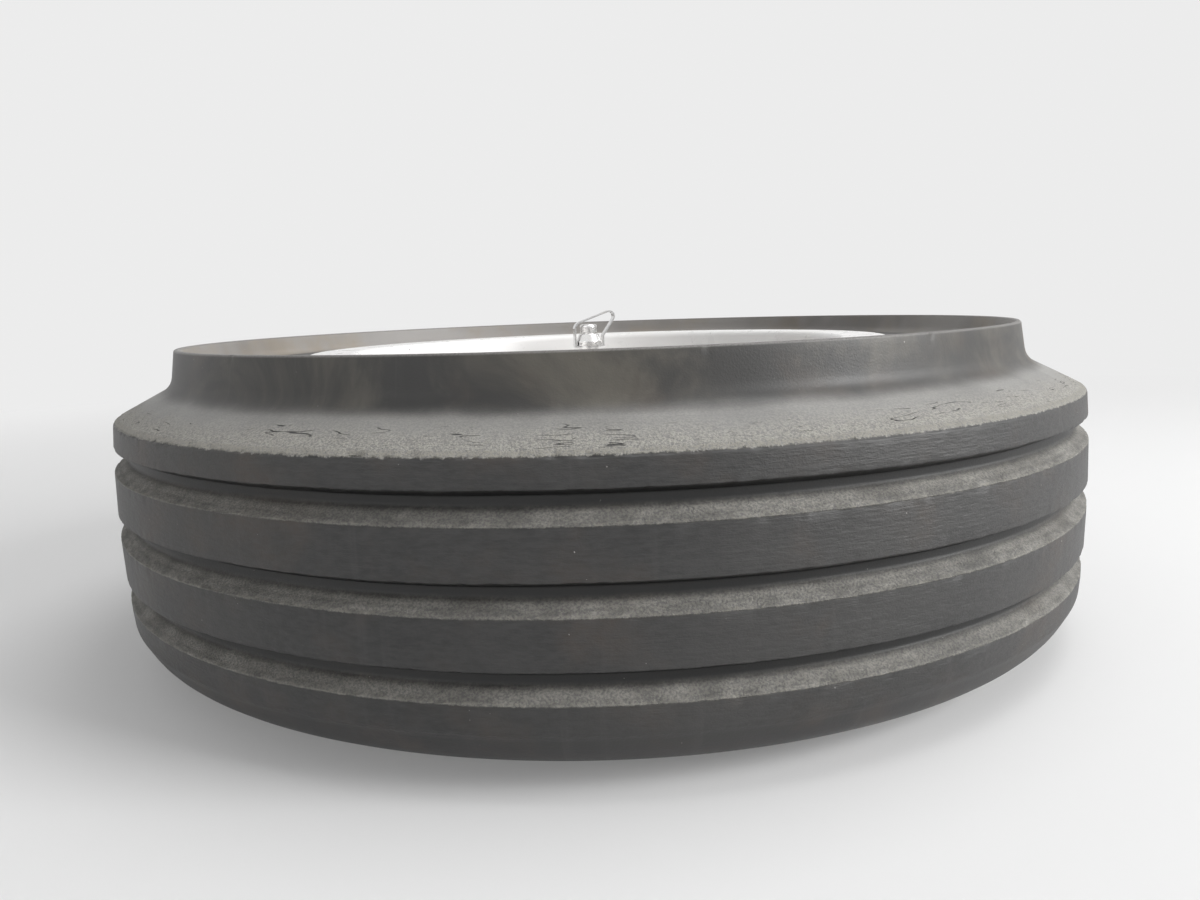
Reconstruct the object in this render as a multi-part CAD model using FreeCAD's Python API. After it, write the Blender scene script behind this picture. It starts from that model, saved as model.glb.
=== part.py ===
import FreeCAD, Part
import math
import os

from FreeCAD import Vector

# Aircraft nose wheel: a chined tubeless tyre on a two-piece bolted wheel that runs on two tapered
# roller bearings. Units are millimetres. The axle runs along Z, and the chined (outboard) side is
# up. Everything is drawn about the wheel's middle plane, z = 0, and lifted when it is written, so
# that the tyre's lower sidewall lies on the ground. A corner of a revolved section is written
# (radius, height, rounding), with its height measured from the middle plane.

# Tyre, outside
TREAD_RADIUS = 227.0            # at the crown
TREAD_DROP = 1.9                # how far the tread falls away from the crown to its corners
TREAD_HALF_WIDTH = 42.2         # middle plane to the tread's corner, before rounding
SHOULDER_ROUNDING = 4.2
GROOVE_COUNT = 3
GROOVE_PITCH = 27.35
GROOVE_WIDTH = 9.8              # at the tread surface
GROOVE_FLOOR_WIDTH = 3.2
GROOVE_DEPTH = 5.8
GROOVE_LIP_ROUNDING = 1.0
GROOVE_FLOOR_ROUNDING = 1.2
SHOULDER_SLOPE = 27.5           # degrees, the cone between the tread and the chine
SECTION_HALF_WIDTH = 65.6       # middle plane to the ground on the lower sidewall
REST_RADIUS = 184.0             # middle of the flat ring that the lower sidewall rests on
REST_WIDTH = 12.0
SIDEWALL_STEEP = 62.0           # degrees, the lower sidewall next to the tread
SIDEWALL_GENTLE = 27.0          # degrees, the lower sidewall where it curves under
SIDEWALL_TURN_DROP = 11.0       # from the tread's lower corner to where one becomes the other
SIDEWALL_ROUNDING = 20.0

# Tyre, chine: a thin collar that stands up from the upper shoulder
CHINE_HEIGHT = 70.6             # middle plane to the lip
CHINE_LIP_WIDTH = 2.3
CHINE_LEAN = 8.6                # degrees that the outer wall leans outwards going down
CHINE_INNER_LEAN = 13.0         # degrees, the inner wall, so the collar thickens downwards
CHINE_FOOT_RADIUS = 201.65      # where the chine's wall would meet the shoulder cone
CHINE_FILLET = 9.0
CHINE_INNER_FILLET = 5.0
CHINE_LIP_ROUNDING = 0.8
UPPER_SIDEWALL_HEIGHT = 60.5    # the flat of the upper sidewall inside the collar

# Tyre, inside
TREAD_THICKNESS = 20.0
SIDEWALL_THICKNESS = 11.0
LINER_ROUNDING = 24.0
LINER_BEAD_ROUNDING = 14.0
LINER_BEAD_RUN = 12.0           # from the sidewall's root to where the liner flattens
SIDEWALL_ROOT_GAP = 2.5         # between the flange's tip and where the sidewall turns out
SIDEWALL_ROOT_ROUNDING = 8.0
SIDEWALL_RUN = 22.0             # from the root to where the sidewall flattens
SIDEWALL_RUN_ROUNDING = 22.0
BEAD_TOE_INSET = 1.0            # the bead toe stays this far short of the end of the rim's seat
BEAD_THICKNESS = 13.0
BEAD_APEX_RISE = 7.0            # of the bead's inner corner above its toe
BEAD_HEEL_ROUNDING = 3.0
BEAD_TOE_ROUNDING = 1.5
BEAD_CLEARANCE = 0.15           # all round, between the bead and the rim

# Wheel halves
BEAD_SEAT_RADIUS = 127.0        # at the flange
BEAD_SEAT_WIDTH = 20.0
BEAD_SEAT_TAPER = 5.0           # degrees
FLANGE_RADIUS = 144.0
FLANGE_HEIGHT = 64.15           # middle plane to the flange's outer face
FLANGE_THICKNESS = 6.15
FLANGE_TIP_ROUNDING = 2.4       # outer side
FLANGE_TYRE_ROUNDING = 3.6      # side next to the tyre
FLANGE_INNER_ROUNDING = 3.0     # where the flange turns down into the dish
WELL_RADIUS = 117.0
WELL_ROUNDING = 3.0
RIM_WALL = 7.0
RIM_INNER_ROUNDING = 8.0
RIM_INNER_LEAN = 2.0            # how much the dish narrows down the back of the bead seat
WEB_THICKNESS = 10.0            # of each half
HUB_RADIUS = 51.5
HUB_HEIGHT = 52.0
HUB_DRAFT = 3.0                 # degrees
HUB_EDGE_ROUNDING = 2.0
HUB_MOUTH_ROUNDING = 0.8
HUB_BORE_RADIUS = 35.3
WEB_FILLET = 9.0
REGISTER_RADIUS = 58.0          # spigot that centres one half in the other
REGISTER_HEIGHT = 2.0
REGISTER_CLEARANCE = 0.1
SEAL_CORD_RADIUS = 1.3          # of the ring that seals the joint between the halves
SEAL_RING_INSET = 4.4           # from the well's surface down to the middle of the ring
SEAL_GROOVE_SLACK = 0.3         # on each side of the ring
LIGHTENING_RADIUS = 13.0
LIGHTENING_CIRCLE = 80.0

# Tie bolts
BOLT_COUNT = 8
BOLT_CIRCLE = 78.0              # radius
BOLT_RADIUS = 3.97
BOLT_HOLE_CLEARANCE = 0.15
BOLT_BOSS_RADIUS = 12.0
BOLT_BOSS_RISE = 2.5
BOLT_HEX = 12.7                 # across flats
BOLT_HEAD_HEIGHT = 5.0
BOLT_PROTRUSION = 2.5           # of the thread beyond the nut
NUT_HEIGHT = 7.0
NUT_COLLAR_HEIGHT = 2.6
NUT_COLLAR_STEP = 0.7           # of the locking collar inside the nut's flats
WASHER_RADIUS = 8.6
WASHER_THICKNESS = 1.6
THREAD_CLEARANCE = 0.05         # between a plain shank and the nut that stands for its thread

# Bearings
AXLE_RADIUS = 22.225
CUP_RADIUS = 41.466
CUP_WIDTH = 19.05
CONE_WIDTH = 25.4
BEARING_WIDTH = 23.812          # cone back face to cup back face
CONE_BACK_HEIGHT = 39.6         # middle plane to the cone's back face
ROLLER_COUNT = 18
ROLLER_PITCH_RADIUS = 33.4
ROLLER_RADIUS = 4.4             # at mid length
ROLLER_LENGTH = 15.5
ROLLER_ANGLE = 11.0             # degrees, roller axis to wheel axis
ROLLER_CLEARANCE = 0.3
CONE_RIB_RADIUS = 33.6
CONE_BORE_ROUNDING = 2.0        # at the back face; half as much at the front
CUP_BACK_ROUNDING = 1.6
RACE_EDGE_ROUNDING = 0.6
CAGE_THICKNESS = 1.2
CAGE_MARGIN = 1.9               # of the cage beyond each end of the rollers
PRESS_GAP = 0.05                # drawn between pieces that are pressed together

# Grease seals and retaining rings
GREASE_SEAL_RADIUS = 43.5
GREASE_SEAL_STEP_HEIGHT = 40.2
GREASE_SEAL_WIDTH = 7.6
GREASE_SEAL_LIP_RADIUS = 24.2
GREASE_SEAL_BAND = 4.5          # thickness of the outer band
GREASE_SEAL_DISC = 2.4          # thickness of the disc
GREASE_SEAL_LIP_RUN = 4.0       # how far the lip leans in over its height
GREASE_SEAL_LIP_THICKNESS = 2.2
GREASE_SEAL_LIP_END = 1.6       # the lip's edge stays this far below the band's face
GREASE_SEAL_ROUNDING = 0.5
SNAP_RING_THICKNESS = 1.6
SNAP_RING_WIDTH = 4.2
SNAP_GROOVE_DEPTH = 1.4
SNAP_RING_CLEARANCE = 0.1
SNAP_RING_GAP = 34.0            # degrees
SNAP_LUG_RADIUS = 3.6
SNAP_LUG_HOLE_RADIUS = 1.25

# Inflation valve
VALVE_CIRCLE = 91.0             # radius at which it stands
VALVE_ANGLE = 93.3              # degrees from X
VALVE_BOSS_RADIUS = 11.0
VALVE_BOSS_HEIGHT = 27.0
VALVE_THREAD_RADIUS = 4.3
VALVE_THREAD_LENGTH = 9.0
VALVE_BORE_DEPTH = 13.0
AIR_PASSAGE_RADIUS = 1.6
AIR_PASSAGE_LIFT = 0.2          # of the passage above the floor of the valve's bore
AIR_PASSAGE_OVERRUN = 1.0       # past the well's surface, so that the drilling breaks through
VALVE_GASKET_THICKNESS = 1.8
VALVE_GASKET_RADIUS = 6.8
VALVE_HEX = 14.0
VALVE_HEX_HEIGHT = 5.0
VALVE_BODY_RADIUS = 5.6
VALVE_BODY_TOP = 57.6
VALVE_STEM_RADIUS = 3.85
VALVE_STEM_TOP = 69.4
VALVE_COLLAR_RADIUS = 7.6
VALVE_COLLAR_TOP_RADIUS = 5.9
VALVE_COLLAR_TOP = 65.7
VALVE_COLLAR_RIM = 2.6          # height of the collar's straight lower band
VALVE_EDGE_ROUNDING = 0.4
LOCK_HOLE_RADIUS = 0.8
CAP_RADIUS = 5.2
CAP_TOP = 71.3
CAP_HEIGHT = 4.9
CAP_ROUNDING = 1.6
CAP_CEILING_GAP = 0.3           # between the stem's mouth and the inside of the cap
CAP_FLUTES = 14
CAP_FLUTE_DEPTH = 0.35
CORE_RADIUS = 2.1
CORE_LENGTH = 15.0
CORE_PIN_RADIUS = 0.6
CORE_PIN_LENGTH = 17.0
CORE_CLEARANCE = 0.3
CORE_RECESS = 1.2               # of the core below the stem's mouth

# Cap loop: one folded strip, clamped under the collar, that passes over the cap
LOOP_THICKNESS = 0.9
LOOP_WIDTH = 4.6
LOOP_ARM_CLEARANCE = 0.7        # between each arm and the collar
LOOP_CAP_GAP = 1.0              # between the strip and the near edge of the cap's top
LOOP_LEAN = 18.6                # degrees that the strip climbs over the cap
LOOP_SHOULDER_ROUNDING = 4.0
LOOP_NOSE_REACH = 19.6          # stem axis to the sharp corner of the nose
LOOP_NOSE_ROUNDING = 2.6
LOOP_ELBOW_DROP = 1.3           # of the bend in the far arm below the collar's top
LOOP_ELBOW_ROUNDING = 3.0
LOOP_TURN = 16.0                # degrees about the stem

AXIS = Vector(0, 0, 1)
TOUCHING = 1e-6                 # points nearer than this are one point
CENTRE = Vector(0, 0, 0)


# --- drawing helpers --------------------------------------------------------------------------

def tangent(degrees):
    return math.tan(math.radians(degrees))


def tread_radius(height):
    """Radius of the crowned tread surface at a height."""
    return TREAD_RADIUS - TREAD_DROP * (height / TREAD_HALF_WIDTH) ** 2


def bead_seat_radius(height):
    """Radius of the tapered seat of the rim at a height from the middle plane."""
    return BEAD_SEAT_RADIUS - (FLANGE_HEIGHT - FLANGE_THICKNESS - height) * tangent(BEAD_SEAT_TAPER)


def rounding_reaches(corners, points, halves, closed):
    """Length that each rounding takes of its two sides, shared where two would overlap."""
    reaches = [corner[2] / math.tan(half) for corner, half in zip(corners, halves)]
    for i in range(0 if closed else 1, len(points)):
        side = (points[i] - points[i - 1]).Length
        wanted = reaches[i - 1] + reaches[i]
        if wanted > side:
            reaches[i - 1] *= side / wanted
            reaches[i] *= side / wanted
    return reaches


def outline(corners, closed=True):
    """Wire in the XZ plane through (radius, height, rounding) corners."""
    points = [Vector(radius, 0, height) for radius, height, rounding in corners]
    count = len(points)
    ends = (points[-1], points[0]) if closed else (None, None)
    before = [ends[0]] + points[:-1]
    after = points[1:] + [ends[1]]
    halves = [
        (b - p).getAngle(a - p) / 2 if a and b else math.pi / 2
        for b, p, a in zip(before, points, after)
    ]
    reaches = rounding_reaches(corners, points, halves, closed)
    edges = []
    first = last = None
    for i in range(count):
        start = end = points[i]
        if reaches[i] > TOUCHING and before[i] and after[i]:
            back = (before[i] - points[i]).normalize()
            ahead = (after[i] - points[i]).normalize()
            start = points[i] + back * reaches[i]
            end = points[i] + ahead * reaches[i]
            radius = reaches[i] * math.tan(halves[i])
            inward = (back + ahead).normalize()
            middle = points[i] + inward * (radius / math.sin(halves[i]) - radius)
        if last is None:
            first = start
        elif (start - last).Length > TOUCHING:
            edges.append(Part.LineSegment(last, start).toShape())
        if start is not end:
            edges.append(Part.Arc(start, middle, end).toShape())
        last = end
    if closed and (first - last).Length > TOUCHING:
        edges.append(Part.LineSegment(last, first).toShape())
    return Part.Wire(edges)


def revolved(corners):
    """Solid of revolution about the axle from a closed section."""
    shape = Part.Face(outline(corners)).revolve(CENTRE, AXIS, 360)
    solid = Part.Solid(shape.Shells[0])
    return solid if solid.Volume > 0 else solid.reversed()


def rod(radius, low, high, x=0.0, y=0.0):
    return Part.makeCylinder(radius, high - low, Vector(x, y, low))


def tube(outer, inner, low, high, x=0.0, y=0.0):
    return rod(outer, low, high, x, y).cut(rod(inner, low, high, x, y))


def hexagon(across_flats, low, high):
    """Hexagonal prism with its outer corners chamfered as a turned blank is."""
    corner = across_flats / math.sqrt(3)
    angles = [math.radians(60 * i) for i in range(7)]
    wire = Part.makePolygon([Vector(corner * math.cos(a), corner * math.sin(a), low) for a in angles])
    prism = Part.Face(wire).extrude(Vector(0, 0, high - low))
    chamfer = corner - across_flats / 2
    blank = revolved([(0, low, 0), (across_flats / 2, low, 0), (corner, low + chamfer, 0),
                      (corner, high - chamfer, 0), (across_flats / 2, high, 0), (0, high, 0)])
    return prism.common(blank)


def ring_of(shape, count, radius, start):
    """Copies of a shape spaced evenly on a circle about the axle."""
    copies = []
    for i in range(count):
        angle = start + 360.0 * i / count
        copy = shape.copy()
        copy.translate(Vector(radius, 0, 0))
        copy.rotate(CENTRE, AXIS, angle)
        copies.append(copy)
    return copies


def inboard(shape):
    """The same piece on the other side of the middle plane."""
    return shape.mirror(CENTRE, AXIS)


# --- tyre -------------------------------------------------------------------------------------

def groove_corners(centre):
    """One tread groove, from its upper edge to its lower edge."""
    top = centre + GROOVE_WIDTH / 2
    bottom = centre - GROOVE_WIDTH / 2
    floor = tread_radius(centre) - GROOVE_DEPTH
    return [
        (tread_radius(top), top, GROOVE_LIP_ROUNDING),
        (floor, centre + GROOVE_FLOOR_WIDTH / 2, GROOVE_FLOOR_ROUNDING),
        (floor, centre - GROOVE_FLOOR_WIDTH / 2, GROOVE_FLOOR_ROUNDING),
        (tread_radius(bottom), bottom, GROOVE_LIP_ROUNDING),
    ]


def tread_corners():
    """The tread from its upper corner to its lower corner."""
    corners = [(tread_radius(TREAD_HALF_WIDTH), TREAD_HALF_WIDTH, SHOULDER_ROUNDING)]
    for i in range(GROOVE_COUNT):
        corners += groove_corners(((GROOVE_COUNT - 1) / 2 - i) * GROOVE_PITCH)
    corners.append((tread_radius(TREAD_HALF_WIDTH), -TREAD_HALF_WIDTH, SHOULDER_ROUNDING))
    return corners


def chine_corners():
    """The collar and the fillet that joins it to the shoulder cone."""
    corner_radius = tread_radius(TREAD_HALF_WIDTH)
    foot_height = TREAD_HALF_WIDTH + (corner_radius - CHINE_FOOT_RADIUS) * tangent(SHOULDER_SLOPE)
    lip_radius = CHINE_FOOT_RADIUS - (CHINE_HEIGHT - foot_height) * tangent(CHINE_LEAN)
    inner_lip = lip_radius - CHINE_LIP_WIDTH
    inner_foot = inner_lip - (CHINE_HEIGHT - UPPER_SIDEWALL_HEIGHT) * tangent(CHINE_INNER_LEAN)
    return [
        (inner_foot, UPPER_SIDEWALL_HEIGHT, CHINE_INNER_FILLET),
        (inner_lip, CHINE_HEIGHT, CHINE_LIP_ROUNDING),
        (lip_radius, CHINE_HEIGHT, CHINE_LIP_ROUNDING),
        (CHINE_FOOT_RADIUS, foot_height, CHINE_FILLET),
    ]


def bead_corners(side_height, sidewall_inner):
    """From the sidewall round the bead and back up the inside, for the upper side."""
    face = FLANGE_HEIGHT - FLANGE_THICKNESS - BEAD_CLEARANCE
    toe = FLANGE_HEIGHT - FLANGE_THICKNESS - BEAD_SEAT_WIDTH + BEAD_TOE_INSET
    root = FLANGE_RADIUS + SIDEWALL_ROOT_GAP
    liner_radius = TREAD_RADIUS - TREAD_THICKNESS
    return [
        (liner_radius, sidewall_inner, LINER_ROUNDING),
        (root + LINER_BEAD_RUN, sidewall_inner, LINER_BEAD_ROUNDING),
        (BEAD_SEAT_RADIUS + BEAD_THICKNESS, toe + BEAD_APEX_RISE, SIDEWALL_ROOT_ROUNDING),
        (bead_seat_radius(toe) + BEAD_CLEARANCE, toe, BEAD_TOE_ROUNDING),
        (BEAD_SEAT_RADIUS + BEAD_CLEARANCE, face, BEAD_HEEL_ROUNDING),
        (root, face, SIDEWALL_ROOT_ROUNDING),
        (root + SIDEWALL_RUN, side_height, SIDEWALL_RUN_ROUNDING),
    ]


def lower(corners):
    """Corners turned over to the other side of the middle plane, in the other direction."""
    return [(radius, -height, rounding) for radius, height, rounding in reversed(corners)]


def lower_sidewall_corners():
    """From the tread's lower corner down to the flat ring on the ground."""
    turn_height = TREAD_HALF_WIDTH + SIDEWALL_TURN_DROP
    turn = tread_radius(TREAD_HALF_WIDTH) - SIDEWALL_TURN_DROP / tangent(SIDEWALL_STEEP)
    under = turn - (SECTION_HALF_WIDTH - turn_height) / tangent(SIDEWALL_GENTLE)
    reach = under - REST_RADIUS - REST_WIDTH / 2
    return [
        (turn, -turn_height, SIDEWALL_ROUNDING),
        (under, -SECTION_HALF_WIDTH, reach / tangent(SIDEWALL_GENTLE / 2)),
    ]


def make_tyre():
    upper = bead_corners(UPPER_SIDEWALL_HEIGHT, UPPER_SIDEWALL_HEIGHT - SIDEWALL_THICKNESS)
    under = lower(bead_corners(SECTION_HALF_WIDTH, SECTION_HALF_WIDTH - SIDEWALL_THICKNESS))
    return revolved(upper + chine_corners() + tread_corners() + lower_sidewall_corners() + under)


# --- wheel halves -----------------------------------------------------------------------------

def rim_corners():
    """Rim of the outboard half, from the web's root round the flange to the split plane."""
    flange_back = FLANGE_HEIGHT - FLANGE_THICKNESS
    seat_end = flange_back - BEAD_SEAT_WIDTH
    well_end = seat_end - (bead_seat_radius(seat_end) - WELL_RADIUS)
    inner = WELL_RADIUS - RIM_WALL
    seat_inner = BEAD_SEAT_RADIUS - RIM_WALL
    return [
        (inner, WEB_THICKNESS, WEB_FILLET),
        (inner, well_end, RIM_INNER_ROUNDING),
        (seat_inner - RIM_INNER_LEAN, seat_end, RIM_INNER_ROUNDING),
        (seat_inner, FLANGE_HEIGHT, FLANGE_INNER_ROUNDING),
        (FLANGE_RADIUS, FLANGE_HEIGHT, FLANGE_TIP_ROUNDING),
        (FLANGE_RADIUS, flange_back, FLANGE_TYRE_ROUNDING),
        (BEAD_SEAT_RADIUS, flange_back, BEAD_HEEL_ROUNDING - BEAD_CLEARANCE),
        (bead_seat_radius(seat_end), seat_end, BEAD_TOE_ROUNDING),
        (WELL_RADIUS, well_end, WELL_ROUNDING),
        (WELL_RADIUS, 0, 0),
    ]


def hub_corners():
    """Bore and outside of the hub, from the split plane up and out to the web."""
    cup_back = CONE_BACK_HEIGHT - BEARING_WIDTH
    foot = HUB_RADIUS + (HUB_HEIGHT - WEB_THICKNESS) * tangent(HUB_DRAFT)
    return [
        (HUB_BORE_RADIUS, 0, 0),
        (HUB_BORE_RADIUS, cup_back, 0),
        (CUP_RADIUS, cup_back, 0),
        (CUP_RADIUS, GREASE_SEAL_STEP_HEIGHT, 0),
        (GREASE_SEAL_RADIUS, GREASE_SEAL_STEP_HEIGHT, 0),
        (GREASE_SEAL_RADIUS, HUB_HEIGHT, HUB_MOUTH_ROUNDING),
        (HUB_RADIUS, HUB_HEIGHT, HUB_EDGE_ROUNDING),
        (foot, WEB_THICKNESS, WEB_FILLET),
    ]


def snap_groove_low():
    return GREASE_SEAL_STEP_HEIGHT + GREASE_SEAL_WIDTH + SNAP_RING_CLEARANCE


def bolt_angle():
    """The first bolt stands half a pitch from the valve."""
    return VALVE_ANGLE + 180.0 / BOLT_COUNT


def web_features():
    """Bolt bosses to add to a half, and bolt and lightening holes to cut from it."""
    boss_top = WEB_THICKNESS + BOLT_BOSS_RISE
    boss = rod(BOLT_BOSS_RADIUS, 0, boss_top)
    hole = rod(BOLT_RADIUS + BOLT_HOLE_CLEARANCE, -REGISTER_HEIGHT, boss_top)
    window = rod(LIGHTENING_RADIUS, -REGISTER_HEIGHT, boss_top)
    windows = ring_of(window, BOLT_COUNT, LIGHTENING_CIRCLE, VALVE_ANGLE)
    bosses = ring_of(boss, BOLT_COUNT, BOLT_CIRCLE, bolt_angle())
    holes = ring_of(hole, BOLT_COUNT, BOLT_CIRCLE, bolt_angle())
    return bosses, holes + windows[1:]


def plain_half():
    """The casting that both halves share, with the snap ring groove turned in its hub."""
    bosses, holes = web_features()
    half = revolved(hub_corners() + rim_corners()).fuse(bosses)
    low = snap_groove_low()
    groove_radius = GREASE_SEAL_RADIUS + SNAP_GROOVE_DEPTH
    groove = rod(groove_radius, low, low + SNAP_RING_THICKNESS + SNAP_RING_CLEARANCE)
    return half.cut(holes + [groove])


def valve_boss():
    """Boss for the valve, carried out to the wall of the rim's well."""
    wall = WELL_RADIUS - RIM_WALL / 2
    boss = rod(VALVE_BOSS_RADIUS, 0, VALVE_BOSS_HEIGHT, VALVE_CIRCLE)
    corner = Vector(VALVE_CIRCLE, -VALVE_BOSS_RADIUS, 0)
    bridge = Part.makeBox(wall - VALVE_CIRCLE, 2 * VALVE_BOSS_RADIUS, VALVE_BOSS_HEIGHT, corner)
    return boss.fuse(bridge.common(rod(wall, 0, VALVE_BOSS_HEIGHT)))


def valve_drilling():
    """Threaded bore for the valve and the passage from its foot to the tyre's air space."""
    floor = VALVE_BOSS_HEIGHT - VALVE_BORE_DEPTH
    bore = rod(VALVE_THREAD_RADIUS, floor, VALVE_BOSS_HEIGHT, VALVE_CIRCLE)
    start = Vector(VALVE_CIRCLE, 0, floor + AIR_PASSAGE_RADIUS + AIR_PASSAGE_LIFT)
    length = WELL_RADIUS + AIR_PASSAGE_OVERRUN - VALVE_CIRCLE
    passage = Part.makeCylinder(AIR_PASSAGE_RADIUS, length, start, Vector(1, 0, 0))
    return bore.fuse(passage)


def make_outboard_half():
    boss, drilling = valve_boss(), valve_drilling()
    boss.rotate(CENTRE, AXIS, VALVE_ANGLE)
    drilling.rotate(CENTRE, AXIS, VALVE_ANGLE)
    register = tube(REGISTER_RADIUS, HUB_BORE_RADIUS, -REGISTER_HEIGHT, 0)
    return plain_half().fuse([boss, register]).cut(drilling).removeSplitter()


def seal_ring_radius():
    return WELL_RADIUS - SEAL_RING_INSET


def make_inboard_half():
    recess = rod(REGISTER_RADIUS + REGISTER_CLEARANCE, -REGISTER_HEIGHT - REGISTER_CLEARANCE, 0)
    half_width = SEAL_CORD_RADIUS + SEAL_GROOVE_SLACK
    depth = 2 * SEAL_CORD_RADIUS
    radius = seal_ring_radius()
    groove = tube(radius + half_width, radius - half_width, -depth, 0)
    return inboard(plain_half()).cut([recess, groove]).removeSplitter()


def make_half_seal():
    middle = Vector(0, 0, -SEAL_CORD_RADIUS)
    return Part.makeTorus(seal_ring_radius(), SEAL_CORD_RADIUS - PRESS_GAP, middle, AXIS)


# --- tie bolts --------------------------------------------------------------------------------

def boss_face():
    return WEB_THICKNESS + BOLT_BOSS_RISE


def make_tie_bolts():
    head_face = boss_face() + WASHER_THICKNESS
    nut_end = -head_face - NUT_HEIGHT
    shank = rod(BOLT_RADIUS, nut_end - BOLT_PROTRUSION, head_face)
    head = hexagon(BOLT_HEX, head_face, head_face + BOLT_HEAD_HEIGHT)
    return ring_of(shank.fuse(head).removeSplitter(), BOLT_COUNT, BOLT_CIRCLE, bolt_angle())


def make_washers():
    washer = tube(WASHER_RADIUS, BOLT_RADIUS + BOLT_HOLE_CLEARANCE,
                  boss_face(), boss_face() + WASHER_THICKNESS)
    return ring_of(washer, BOLT_COUNT, BOLT_CIRCLE, bolt_angle())


def make_tie_nuts():
    top = -boss_face() - WASHER_THICKNESS
    hex_low = top - NUT_HEIGHT + NUT_COLLAR_HEIGHT
    collar = rod(BOLT_HEX / 2 - NUT_COLLAR_STEP, top - NUT_HEIGHT, hex_low)
    nut = hexagon(BOLT_HEX, hex_low, top).fuse(collar).removeSplitter()
    nut = nut.cut(rod(BOLT_RADIUS + THREAD_CLEARANCE, top - NUT_HEIGHT, top))
    return ring_of(nut, BOLT_COUNT, BOLT_CIRCLE, bolt_angle())


# --- bearings, drawn for the outboard side ----------------------------------------------------

def roller_taper():
    """Half angle of a roller, so that its sides and both races meet on the wheel's axis."""
    apex_distance = ROLLER_PITCH_RADIUS / math.sin(math.radians(ROLLER_ANGLE))
    return math.degrees(math.atan(ROLLER_RADIUS / apex_distance))


def roller_height():
    return CONE_BACK_HEIGHT - CONE_WIDTH / 2 - ROLLER_CLEARANCE


def race_radius(height, side):
    """Radius of the cup race (side 1) or the cone race (side -1) at a height."""
    offset = side * (ROLLER_RADIUS + ROLLER_CLEARANCE)
    angle = math.radians(ROLLER_ANGLE)
    foot = ROLLER_PITCH_RADIUS + offset * math.cos(angle)
    foot_height = roller_height() - offset * math.sin(angle)
    return foot + (height - foot_height) * tangent(ROLLER_ANGLE + side * roller_taper())


def make_cup():
    back = CONE_BACK_HEIGHT - BEARING_WIDTH + PRESS_GAP
    front = back + CUP_WIDTH
    outer = CUP_RADIUS - PRESS_GAP
    return revolved([
        (race_radius(back, 1), back, RACE_EDGE_ROUNDING),
        (race_radius(front, 1), front, RACE_EDGE_ROUNDING / 2),
        (outer, front, RACE_EDGE_ROUNDING),
        (outer, back, CUP_BACK_ROUNDING),
    ])


def along_roller(distance, offset):
    """Point at a distance along the roller's axis and an offset from it, in the section."""
    angle = math.radians(ROLLER_ANGLE)
    radius = ROLLER_PITCH_RADIUS + distance * math.sin(angle) + offset * math.cos(angle)
    return radius, roller_height() + distance * math.cos(angle) - offset * math.sin(angle)


def make_cone():
    back, front = CONE_BACK_HEIGHT, CONE_BACK_HEIGHT - CONE_WIDTH
    reach = ROLLER_LENGTH / 2 + ROLLER_CLEARANCE
    large_radius, large_height = along_roller(reach, -ROLLER_RADIUS - ROLLER_CLEARANCE)
    small_radius, small_height = along_roller(-reach, -ROLLER_RADIUS - ROLLER_CLEARANCE)
    rib_height = large_height - (CONE_RIB_RADIUS - large_radius) * tangent(ROLLER_ANGLE)
    return revolved([
        (AXLE_RADIUS, front, CONE_BORE_ROUNDING / 2),
        (small_radius, front, RACE_EDGE_ROUNDING),
        (small_radius, small_height, 0),
        (large_radius, large_height, 0),
        (CONE_RIB_RADIUS, rib_height, RACE_EDGE_ROUNDING / 2),
        (CONE_RIB_RADIUS, back, RACE_EDGE_ROUNDING),
        (AXLE_RADIUS, back, CONE_BORE_ROUNDING),
    ])


def roller_shape(grow):
    """One tapered roller in place at angle 0, larger all round by grow."""
    half = ROLLER_LENGTH / 2
    slope = tangent(roller_taper())
    small = ROLLER_RADIUS - half * slope + grow
    large = ROLLER_RADIUS + half * slope + grow
    roller = Part.makeCone(small, large, ROLLER_LENGTH + 2 * grow, Vector(0, 0, -half - grow))
    roller.rotate(CENTRE, Vector(0, 1, 0), ROLLER_ANGLE)
    roller.translate(Vector(ROLLER_PITCH_RADIUS, 0, roller_height()))
    return roller


def make_rollers():
    return ring_of(roller_shape(0), ROLLER_COUNT, 0, 0)


def make_cage():
    """Pressed steel cage: a coned shell with a window for each roller."""
    reach = ROLLER_LENGTH / 2 + CAGE_MARGIN
    half = CAGE_THICKNESS / 2
    ends = [(-reach, -half), (reach, -half), (reach, half), (-reach, half)]
    shell = revolved([along_roller(distance, offset) + (0,) for distance, offset in ends])
    windows = ring_of(roller_shape(ROLLER_CLEARANCE), ROLLER_COUNT, 0, 0)
    return shell.cut(windows)


def make_grease_seal():
    """Moulded seal: a thick outer band, a thin disc and a lip that turns outwards."""
    low = GREASE_SEAL_STEP_HEIGHT
    high = low + GREASE_SEAL_WIDTH
    outer = GREASE_SEAL_RADIUS - PRESS_GAP
    band = outer - GREASE_SEAL_BAND
    lip = GREASE_SEAL_LIP_RADIUS
    tip = high - GREASE_SEAL_LIP_END
    disc = low + GREASE_SEAL_DISC
    return revolved([
        (lip, tip, GREASE_SEAL_ROUNDING),
        (lip + GREASE_SEAL_LIP_RUN, low, 2 * GREASE_SEAL_ROUNDING),
        (outer, low, GREASE_SEAL_ROUNDING),
        (outer, high, GREASE_SEAL_ROUNDING),
        (band, high, GREASE_SEAL_ROUNDING),
        (band - GREASE_SEAL_DISC / 2, disc, 2 * GREASE_SEAL_ROUNDING),
        (lip + GREASE_SEAL_LIP_RUN + GREASE_SEAL_LIP_THICKNESS, disc, 2 * GREASE_SEAL_ROUNDING),
        (lip + GREASE_SEAL_LIP_THICKNESS, tip + GREASE_SEAL_LIP_END / 2, GREASE_SEAL_ROUNDING),
    ])


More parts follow.
